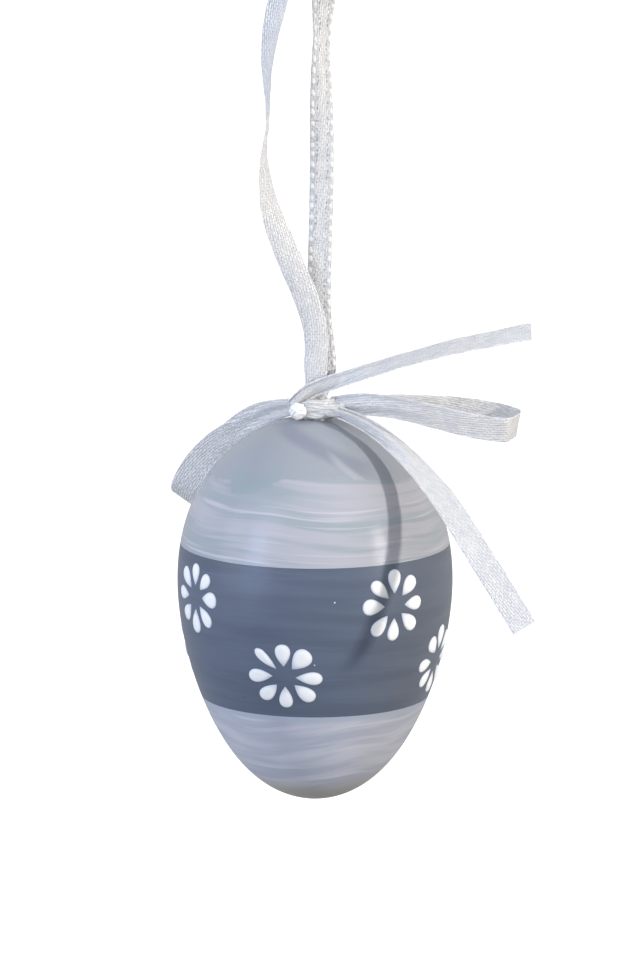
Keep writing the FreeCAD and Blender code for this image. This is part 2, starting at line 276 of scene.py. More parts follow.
rightLoopRoute = [
    ((0.0019, -0.0009, -0.0606), (0.0, 0.0, 1.0), 0.00085),
    ((0.0044, -0.0024, -0.0603), (0.0, 0.0, 1.0), 0.00140),
    ((0.0089, -0.0044, -0.0602), (0.0, -0.2, 0.98), 0.00150),
    ((0.0138, -0.0054, -0.0611), (0.0, -0.2, 0.98), 0.00160),
    ((0.0185, -0.0057, -0.0623), (0.0, -0.2, 0.98), 0.00165),
    ((0.0222, -0.0055, -0.0630), (0.0, -0.2, 0.98), 0.00165),
    ((0.0241, -0.0053, -0.0632), (0.0, -0.2, 0.98), 0.00165),
    ((0.0246, -0.0046, -0.0632), (0.15, -0.15, 0.98), 0.00165),
    ((0.0254, -0.0019, -0.0632), (0.2, 0.0, 0.98), 0.00165),
    ((0.0260, 0.0016, -0.0634), (0.18, 0.08, 0.98), 0.00165),
    ((0.0238, 0.0041, -0.0631), (0.0, 0.0, 1.0), 0.00165),
    ((0.0193, 0.0042, -0.0623), (0.0, 0.0, 1.0), 0.00165),
    ((0.0143, 0.0034, -0.0617), (0.0, 0.0, 1.0), 0.0015),
    ((0.0088, 0.0020, -0.0610), (0.0, 0.0, 1.0), 0.0012),
    ((0.0044, 0.0012, -0.0610), (0.0, 0.0, 1.0), 0.0009),
    ((0.0020, 0.0007, -0.0610), (0.0, 0.0, 1.0), 0.00075),
]
leftLoopRoute = [
    ((-0.0019, -0.0006, -0.0610), (0.0, 0.0, 1.0), 0.00075),
    ((-0.0043, 0.0022, -0.0617), (-0.1, -0.1, 1.0), 0.0012),
    ((-0.0068, 0.0056, -0.0634), (-0.3, -0.1, 0.87), 0.0014),
    ((-0.0102, 0.0074, -0.0655), (-0.5, 0.05, 0.82), 0.00155),
    ((-0.0133, 0.0074, -0.0677), (-0.72, 0.1, 0.67), 0.00165),
    ((-0.0156, 0.0070, -0.0703), (-0.89, 0.1, 0.45), 0.00165),
    ((-0.0169, 0.0071, -0.0728), (-0.86, 0.0, 0.51), 0.00165),
    ((-0.0170, 0.0096, -0.0748), (-0.8, 0.1, 0.6), 0.00165),
    ((-0.0160, 0.0129, -0.0750), (-0.78, 0.2, 0.59), 0.00165),
    ((-0.0144, 0.0142, -0.0724), (-0.75, 0.3, 0.6), 0.00165),
    ((-0.0116, 0.0120, -0.0674), (-0.51, 0.3, 0.81), 0.00165),
    ((-0.0080, 0.0098, -0.0638), (-0.29, 0.0, 0.96), 0.0013),
    ((-0.0049, 0.0046, -0.0619), (0.0, 0.0, 1.0), 0.0009),
    ((-0.0019, 0.0008, -0.0609), (0.0, 0.0, 1.0), 0.00075),
]


def splinePoints(rows):
    # points along a NURBS spline that has these rows as its control points
    curve = bpy.data.curves.new("route", "CURVE")
    curve.dimensions = "3D"
    curve.resolution_u = 24
    spline = curve.splines.new("NURBS")
    spline.points.add(len(rows) - 1)
    for point, row in zip(spline.points, rows):
        point.co = (*row, 1.0)
    spline.order_u = 3
    spline.use_endpoint_u = True
    holder = bpy.data.objects.new("route", curve)
    mesh = bpy.data.meshes.new_from_object(holder)
    points = [vertex.co.copy() for vertex in mesh.vertices]
    bpy.data.meshes.remove(mesh)
    bpy.data.curves.remove(curve)
    return points


def evenStations(route, step):
    # the route's smooth line at even steps: along, place, forward, across, outward, half width
    places = splinePoints([row[0] for row in route])
    acrosses = splinePoints([row[1] for row in route])
    halves = splinePoints([(row[2], 0.0, 0.0) for row in route])
    alongs = [0.0]
    for before, after in zip(places, places[1:]):
        alongs.append(alongs[-1] + (after - before).length)
    count = max(2, round(alongs[-1] / step))
    stations = []
    index = 0
    for number in range(count + 1):
        along = alongs[-1] * number / count
        while index < len(alongs) - 2 and alongs[index + 1] < along:
            index += 1
        share = (along - alongs[index]) / max(alongs[index + 1] - alongs[index], 1e-9)
        forward = (places[index + 1] - places[index]).normalized()
        across = acrosses[index].lerp(acrosses[index + 1], share)
        across = (across - forward * across.dot(forward)).normalized()
        half = halves[index].lerp(halves[index + 1], share).x
        stations.append((along, places[index].lerp(places[index + 1], share), forward, across,
                         forward.cross(across), half))
    return stations, places, alongs[-1]


def smoothShare(value):
    value = min(1.0, max(0.0, value))
    return value * value * (3 - 2 * value)


def onRibbon(station, side, ribbon):
    # the point at side, from -1 to 1 across the ribbon, at a station
    along, place, forward, across, outward, half = station
    gather = 1.0 - min(1.0, half / ribbonCloth["halfWidth"])
    lift = ribbonCloth["pleatDepth"] * gather * math.cos(math.pi * ribbonCloth["pleats"] * side)
    lift += ribbon.get("cup", 0.0) * (side * side - ribbonCloth["cupRest"])
    dent = Vector((along / ribbonCloth["rippleLength"], side * ribbonCloth["rippleWidth"],
                   ribbon["seed"] * 3.7))
    lift += noise.noise(dent) * ribbonCloth["ripple"]
    return place + across * (side * half) + outward * lift


def addPicots(bm, stations, length, ribbon):
    # one flat bead of looped edge thread at each pitch, on both edges, where the face side shows
    radii = ribbonCloth["picotRadii"]
    count = int(length / ribbonCloth["picotPitch"])
    jitter = ribbonCloth["picotJitter"]
    gathered = ribbonCloth["picotGather"]
    scatter = random.Random(ribbon["seed"])
    first, last = ribbon.get("picots", (0.0, 0.0))
    beadFaces = []
    for edge in (-1, 1):
        for number in range(count):
            along = (number + 0.5 + scatter.uniform(-jitter, jitter)) * length / count
            if not first < along < last:
                continue
            station = stations[min(len(stations) - 1, round(along / length * (len(stations) - 1)))]
            forward, across, outward, half = station[2:]
            squeeze = half / ribbonCloth["halfWidth"]
            columns = (across * radii[0] * (gathered + (1 - gathered) * squeeze),
                       forward * radii[1] * scatter.uniform(*ribbonCloth["picotLengths"]),
                       outward * radii[2] * scatter.uniform(*ribbonCloth["picotHeights"]))
            matrix = Matrix.Identity(4)
            for column, vector in enumerate(columns):
                matrix.col[column].xyz = vector
            matrix.translation = onRibbon(station, edge * ribbonCloth["picotPlace"], ribbon)
            made = bmesh.ops.create_icosphere(bm, subdivisions=2, radius=1.0, matrix=matrix)
            beadFaces += list({face for vertex in made["verts"] for face in vertex.link_faces})
    for face in beadFaces:
        face.material_index = 1


def layRibbon(name, ribbon):
    # a flat grid laid along the route, thickened, with picots on its edges
    stations, places, length = evenStations(ribbon["route"], ribbonCloth["step"])
    bm = bmesh.new()
    uvLayer = bm.loops.layers.uv.new("ribbonUv")
    faceSide = bm.verts.layers.float.new("faceSide")
    first, last = ribbon.get("picots", (0.0, 0.0))
    bmesh.ops.create_grid(bm, x_segments=ribbonCloth["acrossSteps"], y_segments=len(stations) - 1,
                          size=1.0)
    fabricPlace = {}
    flatHalf = ribbonCloth["halfWidth"] / millimetre
    for vertex in bm.verts:
        side = vertex.co.x
        station = stations[round((vertex.co.y + 1) / 2 * (len(stations) - 1))]
        fabricPlace[vertex] = (side * flatHalf, station[0] / millimetre)
        shown = min(station[0] - first, last - station[0]) / ribbonCloth["picotFade"]
        vertex[faceSide] = smoothShare(shown)
        vertex.co = onRibbon(station, side * ribbonCloth["clothShare"], ribbon)
        vertex.co -= station[4] * ribbonCloth["thickness"] / 2
    for face in bm.faces:
        for loop in face.loops:
            loop[uvLayer].uv = fabricPlace[loop.vert]
    bmesh.ops.solidify(bm, geom=bm.faces[:], thickness=-ribbonCloth["thickness"])
    bmesh.ops.recalc_face_normals(bm, faces=bm.faces[:])
    addPicots(bm, stations, length, ribbon)
    piece = pieceFrom(bm, name, [satinWeave, picotThread])
    piece.data.set_sharp_from_angle(angle=math.radians(ribbonCloth["sharpEdge"]))
    print(name, "laid,", round(length / millimetre, 1), "mm")
    return piece, places


def pieceFrom(bm, name, materials):
    mesh = bpy.data.meshes.new(name)
    bm.to_mesh(mesh)
    bm.free()
    for material in materials:
        mesh.materials.append(material)
    mesh.shade_smooth()
    piece = bpy.data.objects.new(name, mesh)
    bpy.context.scene.collection.objects.link(piece)
    return piece


def makeSatinWeave():
    # woven polyester satin: short bright float threads in staggered rows, long slanting
    # streaks, faint cross creases, and small gaps beside the picots where the face shows.
    # The floats are drawn several times coarser than real thread, so that they show
    material, tree = blankMaterial("woven polyester satin")
    uv = addNode(tree, "UVMap", uv_map="ribbonUv")
    parts = addNode(tree, "SeparateXYZ", {"Vector": uv})
    side = addNode(tree, "Math", {0: parts.outputs["X"]}, operation="ABSOLUTE")
    faceSide = addNode(tree, "Attribute", attribute_name="faceSide").outputs["Fac"]

    # float threads: 0.8 mm long, 0.33 mm apart, each a little lighter or darker than the next
    turned = addNode(tree, "Mapping", {"Vector": uv, "Rotation": (0.0, 0.0, math.radians(96))})
    floats = addNode(tree, "TexBrick", {
        "Vector": turned, "Color1": "#dfe2e9", "Color2": "#ffffff", "Mortar": "#e8ebf1",
        "Scale": 1.0, "Mortar Size": 0.06, "Mortar Smooth": 1.0, "Bias": 0.15,
        "Brick Width": 0.8, "Row Height": 0.33}, offset=0.5)
    # streaks: 0.3 mm wide and 3 mm long, slanting 20 degrees to the ribbon's length
    slanted = addNode(tree, "Mapping", {"Vector": uv, "Rotation": (0.0, 0.0, math.radians(20))})
    drawn = addNode(tree, "Mapping", {"Vector": slanted, "Scale": (3.0, 0.35, 1.0)})
    streaks = addNode(tree, "TexNoise", {"Vector": drawn, "Scale": 1.0, "Detail": 2.0,
                                         "Roughness": 0.55})
    streakShare = addNode(tree, "MapRange", {"Value": streaks, "From Min": 0.38, "From Max": 0.60})
    # soft cross creases about 1.1 mm apart
    crossed = addNode(tree, "Mapping", {"Vector": uv, "Scale": (0.5, 0.9, 1.0)})
    creases = addNode(tree, "TexNoise", {"Vector": crossed, "Scale": 1.0, "Detail": 1.0})

    # gaps 0.7 mm from the middle, 0.66 mm apart, uneven in size
    fromGapLine = addNode(tree, "Math", {0: side, 1: 0.70}, operation="SUBTRACT")
    alongGaps = addNode(tree, "Math", {0: parts.outputs["Y"], 1: 0.33}, operation="PINGPONG")
    gapX = addNode(tree, "Math", {0: fromGapLine, 1: 1.4}, operation="MULTIPLY")
    gapPlace = addNode(tree, "CombineXYZ", {"X": gapX, "Y": alongGaps})
    gapFar = addNode(tree, "VectorMath", {0: gapPlace}, operation="LENGTH")
    uneven = addNode(tree, "MapRange", {"Value": streaks, "From Min": 0.3, "From Max": 0.65,
                                        "To Min": 0.38, "To Max": 0.08})
    gapDepth = addNode(tree, "Math", {0: uneven, 1: gapFar}, operation="SUBTRACT")
    gaps = addNode(tree, "MapRange", {"Value": gapDepth, "From Min": 0.0, "From Max": 0.2})
    gapShare = addNode(tree, "Math", {0: gaps, 1: faceSide}, operation="MULTIPLY")

    # the cloth's colour, greyer beside the beads and in the gaps
    streakTone = addNode(tree, "Mix", {"Factor": streakShare, "A": "#e9edf5", "B": "#ffffff"},
                         data_type="RGBA")
    patches = addNode(tree, "TexNoise", {"Vector": uv, "Scale": 0.28, "Detail": 1.0})
    floatShare = addNode(tree, "MapRange", {"Value": patches, "From Min": 0.35, "From Max": 0.65,
                                            "To Min": 0.25, "To Max": 0.70})
    cloth = addNode(tree, "Mix", {"Factor": floatShare, "A": streakTone, "B": floats},
                    data_type="RGBA")
    edgeShare = addNode(tree, "MapRange", {"Value": side, "From Min": 0.8, "From Max": 0.95})
    besideBeads = addNode(tree, "Math", {0: edgeShare, 1: faceSide}, operation="MULTIPLY")
    besideShare = addNode(tree, "Math", {0: besideBeads, 1: 0.35}, operation="MULTIPLY")
    edged = addNode(tree, "Mix", {"Factor": besideShare, "A": cloth, "B": "#ced4e0"},
                    data_type="RGBA")
    gapped = addNode(tree, "Mix", {"Factor": gapShare, "A": edged, "B": "#b6bdcb"},
                     data_type="RGBA")

    # relief: pillowed floats and raised streaks, less the gaps, over the wider creases
    pillow = addNode(tree, "Math", {0: 1.0, 1: floats.outputs["Fac"]}, operation="SUBTRACT")
    streakRise = addNode(tree, "Math", {0: streakShare, 1: 0.5}, operation="MULTIPLY")
    relief = addNode(tree, "Math", {0: pillow, 1: streakRise}, operation="ADD")
    dip = addNode(tree, "Math", {0: relief, 1: gapShare}, operation="SUBTRACT")
    fineBump = addNode(tree, "Bump", {"Height": dip, "Strength": 0.9, "Distance": 0.00008})
    bump = addNode(tree, "Bump", {"Height": creases, "Strength": 0.35, "Distance": 0.0004,
                                  "Normal": fineBump})
    surface = addNode(tree, "BsdfPrincipled", {
        "Base Color": gapped, "Roughness": 0.27, "Normal": bump,
        "Specular IOR Level": 0.95, "Sheen Weight": 0.3, "Sheen Roughness": 0.4})
    # a little light comes through the thin cloth
    through = addNode(tree, "BsdfTranslucent", {"Color": "#fbfbfa"})
    both = addNode(tree, "MixShader", {0: 0.20, 1: surface, 2: through})
    addNode(tree, "OutputMaterial", {"Surface": both})
    return material


def makePicotThread():
    # looped polyester edge thread, strands 0.1 mm apart: brighter and softer than the satin
    material, tree = blankMaterial("looped polyester edge thread")
    place = addNode(tree, "TexCoord").outputs["Object"]
    strands = addNode(tree, "TexNoise", {"Vector": place, "Scale": 9000.0, "Detail": 2.0})
    tone = addNode(tree, "Mix", {"Factor": strands, "A": "#f0f1f5", "B": "#ffffff"},
                   data_type="RGBA")
    bump = addNode(tree, "Bump", {"Height": strands, "Strength": 0.4, "Distance": 0.00004})
    surface = addNode(tree, "BsdfPrincipled", {
        "Base Color": tone, "Roughness": 0.45, "Normal": bump,
        "Sheen Weight": 0.3, "Sheen Roughness": 0.4,
        "Subsurface Weight": 0.25, "Subsurface Radius": (0.0006, 0.0006, 0.0007),
        "Subsurface Scale": 1.0})
    addNode(tree, "OutputMaterial", {"Surface": surface})
    return material


ribbons = {
    "hangingRibbon": {"route": hangingRoute, "seed": 3, "lay": "taut",
                      "replaces": ["hanging_loop", "ribbon_sling"], "farEnd": "object",
                      "length": 0.1445,
                      "picots": (0.070, 0.138),   # shown between these lengths along the route
                      "cup": 0.00042},            # how far the edges stand off the flat
    "bowTailUpper": {"route": upperTailRoute, "seed": 5, "lay": "loose",
                     "replaces": ["bow_tail_upper"], "farEnd": "bare", "length": 0.032},
    "bowTailLower": {"route": lowerTailRoute, "seed": 7, "lay": "loose",
                     "replaces": ["bow_tail_lower"], "farEnd": "bare", "length": 0.042},
    "bowLoopRight": {"route": rightLoopRoute, "seed": 9, "lay": "loose",
                     "replaces": ["bow_loop_right"], "farEnd": "object", "length": 0.056},
    "bowLoopLeft": {"route": leftLoopRoute, "seed": 11, "lay": "loose",
                    "replaces": ["bow_loop_left"], "farEnd": "object", "length": 0.0545},
}


def makeRibbons():
    for name, ribbon in ribbons.items():
        piece, places = layRibbon(name, ribbon)
        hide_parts(*ribbon["replaces"])
        if name == "hangingRibbon":
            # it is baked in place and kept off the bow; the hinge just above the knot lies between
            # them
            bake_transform(piece)
        else:
            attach(piece, "bow")


# The knot

knot = {
    "ball": {
        "centre": (-0.00215, -0.0026, -0.0611),
        "radii": (0.00104, 0.00092, 0.00098),
        "windings": 5,
        "ridge": 0.07,                     # height of the windings, of the radius
        "tilt": (0.7, 0.5),                # of the windings' axis, in radians
        "lumps": ((2.3, 0.13), (6.1, 0.04)),   # how close together and how high
    },
    # each fold: its line from end to end, half width at the middle, half thickness
    "folds": (
        (((-0.0020, -0.0018, -0.0604), (-0.0004, -0.0023, -0.0603), (0.0014, -0.0020, -0.0602),
          (0.0030, -0.0004, -0.0600)), 0.00050, 0.00040),
        (((-0.0021, -0.0022, -0.0609), (-0.0004, -0.0026, -0.0608), (0.0018, -0.0023, -0.0608),
          (0.0044, -0.0018, -0.0606)), 0.00050, 0.00038),
        (((-0.0021, -0.0020, -0.0614), (-0.0003, -0.0023, -0.0614), (0.0017, -0.0024, -0.0613),
          (0.0040, -0.0033, -0.0616)), 0.00048, 0.00038),
        (((-0.0020, -0.0022, -0.0616), (-0.0002, -0.0025, -0.06182), (0.0012, -0.0024, -0.06175),
          (0.0024, -0.0020, -0.0615)), 0.00036, 0.00032),
        (((-0.0022, 0.0004, -0.0609), (-0.0006, 0.0010, -0.0607), (0.0008, 0.0010, -0.0607),
          (0.0022, 0.0004, -0.0609)), 0.00055, 0.00040),
        (((-0.0018, -0.0006, -0.0612), (0.0, -0.0004, -0.0612), (0.0012, -0.0004, -0.0612),
          (0.0026, -0.0010, -0.0611)), 0.00075, 0.00060),
    ),
    "steps": 40,
    "aroundSteps": 18,
    "lump": 0.00007,
    "endSharpness": 4.5,                   # how quickly a fold swells from its ends
    "ribs": 5,
    "ribDepth": 0.10,
}


def addFold(bm, fabricPlace, line, halfWidth, halfThick, seed):
    # a gathered fold of ribbon: a flat tube, thin at its ends, with a lumpy skin
    places = splinePoints(line)
    made = bmesh.ops.create_uvsphere(bm, u_segments=knot["aroundSteps"], v_segments=knot["steps"],
                                     radius=1.0)
    for vertex in made["verts"]:
        share = math.acos(max(-1.0, min(1.0, vertex.co.z))) / math.pi
        index = min(len(places) - 2, int(share * (len(places) - 1)))
        forward = (places[index + 1] - places[index]).normalized()
        place = places[index].lerp(places[index + 1], share * (len(places) - 1) - index)
        up = (Vector((0.0, 0.0, 1.0)) - forward * forward.z).normalized()
        front = forward.cross(up)
        atEnd = share in (0.0, 1.0)
        ring = Vector((0.0, 0.0)) if atEnd else Vector((vertex.co.x, vertex.co.y)).normalized()
        turn = math.atan2(ring.y, ring.x)
        swell = min(1.0, knot["endSharpness"] * share, knot["endSharpness"] * (1 - share)) ** 0.5
        rib = 1.0 + knot["ribDepth"] * math.sin(knot["ribs"] * turn + 6 * share + seed)
        skin = noise.noise(Vector((share * 9, ring.x * 1.3 + seed, ring.y * 1.3))) * knot["lump"]
        vertex.co = place + (up * ring.x * halfWidth + front * ring.y * halfThick) * swell * rib
        vertex.co += (up * ring.x + front * ring.y) * skin
        fabricPlace[vertex] = (turn * 0.4, share * 6.0)


def makeKnot():
    bm = bmesh.new()
    uvLayer = bm.loops.layers.uv.new("ribbonUv")
    fabricPlace = {}
    ball = knot["ball"]
    made = bmesh.ops.create_icosphere(bm, subdivisions=6, radius=1.0)
    tilt = Matrix.Rotation(ball["tilt"][0], 3, "X") @ Matrix.Rotation(ball["tilt"][1], 3, "Y")
    for vertex in made["verts"]:
        # ridges where the end is wound round itself
        turned = tilt @ vertex.co
        wound = math.cos(turned.z * ball["windings"] * math.pi + 0.8 * turned.x) * ball["ridge"]
        lump = sum(noise.noise(vertex.co * pitch) * height for pitch, height in ball["lumps"])
        grown = vertex.co * (1.0 + wound + lump)
        reach = [grown[axis] * ball["radii"][axis] for axis in range(3)]
        vertex.co = Vector(ball["centre"]) + Vector(reach)
    for number, (line, halfWidth, halfThick) in enumerate(knot["folds"]):
        addFold(bm, fabricPlace, line, halfWidth, halfThick, number * 2.7)
    for face in bm.faces:
        face.material_index = 0 if face.verts[0] in fabricPlace else 1
        for loop in face.loops:
            loop[uvLayer].uv = fabricPlace.get(loop.vert, (0.0, 0.0))
    bmesh.ops.recalc_face_normals(bm, faces=bm.faces[:])
    piece = pieceFrom(bm, "bowKnot", [satinWeave, picotThread])
    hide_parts("bow_knot")
    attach(piece, "bow")
    print("knot tied")


# The egg

egg = {
    "height": 0.0492,
    "girthRadius": 0.01719,        # a factor of the outline, not the widest radius
    "topZ": -0.0622,
    "bluntness": (0.157, 0.025, -0.073),   # skews the oval towards its blunt top
    "coat": 0.00012,               # dried paint
    "holeRadius": 0.0023,
    "beltTopZ": -0.0783,
    "beltBottomZ": -0.0978,
    "steps": 200,                  # round the egg
    "capRows": 60,
    "beltRows": 70,
    "sharpEdge": 50.0,             # degrees
}
eggHalfHeight = egg["height"] / 2
eggCentreZ = egg["topZ"] - eggHalfHeight


def outlineAt(angle, grow=0.0):
    # radius and height on the egg's outline, angle from the blunt pole
    tall = math.cos(angle)
    powers = enumerate(egg["bluntness"], start=1)
    swell = 1.0 + sum(factor * tall ** power for power, factor in powers)
    radius = (egg["girthRadius"] + grow) * math.sin(angle) * swell
    return radius, eggCentreZ + (eggHalfHeight + grow) * tall


def angleAtHeight(height):
    return math.acos(max(-1.0, min(1.0, (height - eggCentreZ) / eggHalfHeight)))


def angleAtRadius(wanted):
    # on the blunt end
    low, high = 0.0, math.pi / 4
    for _ in range(40):
        middle = (low + high) / 2
        low, high = (middle, high) if outlineAt(middle)[0] < wanted else (low, middle)
    return low


def spinCoat(name, startAngle, endAngle, rows, material, node):
    # a closed thin shell of dried paint, turned round the egg's axis
    angles = [startAngle + (endAngle - startAngle) * row / rows for row in range(rows + 1)]
    outer = [outlineAt(angle) for angle in angles]
    inner = [outlineAt(angle, -egg["coat"]) for angle in reversed(angles)]
    bm = bmesh.new()
    rim = [bm.verts.new((max(radius, 0.0), 0.0, height)) for radius, height in outer + inner]
    closed = endAngle < math.pi
    edges = [bm.edges.new(pair) for pair in zip(rim, rim[1:] + (rim[:1] if closed else []))]
    bmesh.ops.spin(bm, geom=rim + edges, cent=(0, 0, 0), axis=(0, 0, 1), angle=2 * math.pi,
                   steps=egg["steps"], use_merge=True, use_duplicate=False)
    bmesh.ops.remove_doubles(bm, verts=bm.verts[:], dist=1e-7)
    bmesh.ops.dissolve_degenerate(bm, edges=bm.edges[:], dist=1e-8)
    bmesh.ops.recalc_face_normals(bm, faces=bm.faces[:])
    piece = pieceFrom(bm, name, [material])
    piece.data.set_sharp_from_angle(angle=math.radians(egg["sharpEdge"]))
    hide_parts(node)
    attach(piece, "egg")
    return piece


def millimetrePlace(tree):
    # the place on the egg in millimetres, that place's parts, and its azimuth from the front
    # in degrees
    place = addNode(tree, "TexCoord").outputs["Object"]
    scaled = addNode(tree, "VectorMath", {0: place, "Scale": 1 / millimetre}, operation="SCALE")
    parts = addNode(tree, "SeparateXYZ", {"Vector": scaled})
    frontward = addNode(tree, "Math", {0: parts.outputs["Y"], 1: -1.0}, operation="MULTIPLY")
    turn = addNode(tree, "Math", {0: parts.outputs["X"], 1: frontward}, operation="ARCTAN2")
    azimuth = addNode(tree, "Math", {0: turn}, operation="DEGREES")
    return scaled, parts, azimuth


def brushed(tree, place, flat, fine, slope, bend, seed):
    # noise drawn out round the egg: flat and fine are cycles per mm round and up the egg,
    # slope and bend tilt the strokes and let them wander up and down (mm)
    parts = addNode(tree, "SeparateXYZ", {"Vector": place})
    across, depth, up = (parts.outputs[axis] for axis in "XYZ")
    wander = addNode(tree, "TexNoise", {"Vector": place, "Scale": 0.07, "Detail": 1.0})
    lean = addNode(tree, "Math", {0: across, 1: slope, 2: up}, operation="MULTIPLY_ADD")
    height = addNode(tree, "Math", {0: wander, 1: bend, 2: lean}, operation="MULTIPLY_ADD")
    moved = addNode(tree, "CombineXYZ", {"X": across, "Y": depth, "Z": height})
    drawn = addNode(tree, "Mapping", {"Vector": moved, "Location": (seed, seed, seed),
                                      "Scale": (flat, flat, fine)})
    return addNode(tree, "TexNoise", {"Vector": drawn, "Scale": 1.0, "Detail": 2.0,
                                      "Roughness": 0.5})


def strokeAcross(tree, parts, stroke):
    # a slanting stroke over the front of the egg, soft at its sides and at both ends (mm)
    along = parts.outputs["X"]
    lean = addNode(tree, "Math", {0: along, 1: stroke["slope"]}, operation="MULTIPLY")
    height = addNode(tree, "Math", {0: parts.outputs["Z"], 1: lean}, operation="ADD")
    off = addNode(tree, "Math", {0: height, 1: stroke["level"]}, operation="SUBTRACT")
    off = addNode(tree, "Math", {0: off}, operation="ABSOLUTE")
    outside, inside = stroke["sides"]
    share = addNode(tree, "MapRange", {"Value": off, "From Min": outside, "From Max": inside},
                    interpolation_type="SMOOTHSTEP")
    # on the front half only, and between the stroke's two ends
    fades = ((parts.outputs["Y"], -0.5, -2.0), (along, *stroke["start"]), (along, *stroke["end"]))
    for value, out, full in fades:
        fade = addNode(tree, "MapRange", {"Value": value, "From Min": out, "From Max": full},
                       interpolation_type="SMOOTHSTEP")
        share = addNode(tree, "Math", {0: share, 1: fade}, operation="MULTIPLY")
    return addNode(tree, "Math", {0: share, 1: stroke["strength"]}, operation="MULTIPLY")


def paintSurface(tree, coat, colour, place, azimuth, height):
    # satin paint film: brush ridges and a fine grain that breaks up the highlights. Its right
    # side is darkened as painted shade, fading out again before the back so no seam shows there
    rightward = addNode(tree, "MapRange", {"Value": azimuth, "From Min": 10.0, "From Max": 52.0},
                        interpolation_type="SMOOTHSTEP")
    frontward = addNode(tree, "MapRange", {"Value": azimuth, "From Min": 175.0, "From Max": 110.0},
                        interpolation_type="SMOOTHSTEP")
    rightShadeShare = addNode(tree, "Math", {0: rightward, 1: frontward}, operation="MULTIPLY")
    # painted shade: the right side is multiplied by the coat's darker tone
    withRightShade = addNode(tree, "Mix", {"Factor": rightShadeShare, "A": colour, "B": coat["paintedShadeTone"]},
                    data_type="RGBA", blend_type="MULTIPLY")
    grain = addNode(tree, "TexNoise", {"Vector": place, "Scale": 5.5, "Detail": 2.0})
    ridges = addNode(tree, "Bump", {"Height": height, "Strength": 0.25, "Distance": 0.00006})
    bump = addNode(tree, "Bump", {"Height": grain, "Strength": 0.5, "Distance": 0.00003,
                                  "Normal": ridges})
    surface = addNode(tree, "BsdfPrincipled", {
        "Base Color": withRightShade, "Roughness": coat["roughness"], "Specular IOR Level": 0.4,
        "Normal": bump})
    addNode(tree, "OutputMaterial", {"Surface": surface})


upperCap = {
    # painted shade: this tone darkens the right side
    "paintedShadeTone": (0.81, 0.80, 0.79, 1.0),
    "roughness": 0.19,
    "smoothEdge": (-68.1, -67.8),  # the calm zone's lower edge: no calm below, all calm above (mm)
    "edgeRough": 1.8,              # how far brush marks jag that edge (mm)
    "edgeSag": 0.009,              # how fast the edge drops away from the middle, per mm squared
    "lobeTurn": 38.0,              # degrees left of the front
    "lobeDrop": 1.5,               # mm
    # painted shade below the knot, and a painted reflection of the lower tail
    "paintedShadeStroke": {"slope": 0.41, "level": -64.65, "sides": (1.35, 0.25), "start": (-6.0, -3.5),
                   "end": (8.5, 5.0), "strength": 0.75},
    "paintedReflectionStroke": {"slope": 0.745, "level": -64.1, "sides": (0.75, 0.1), "start": (1.0, 3.0),
                   "end": (8.0, 6.5), "strength": 0.38},
}


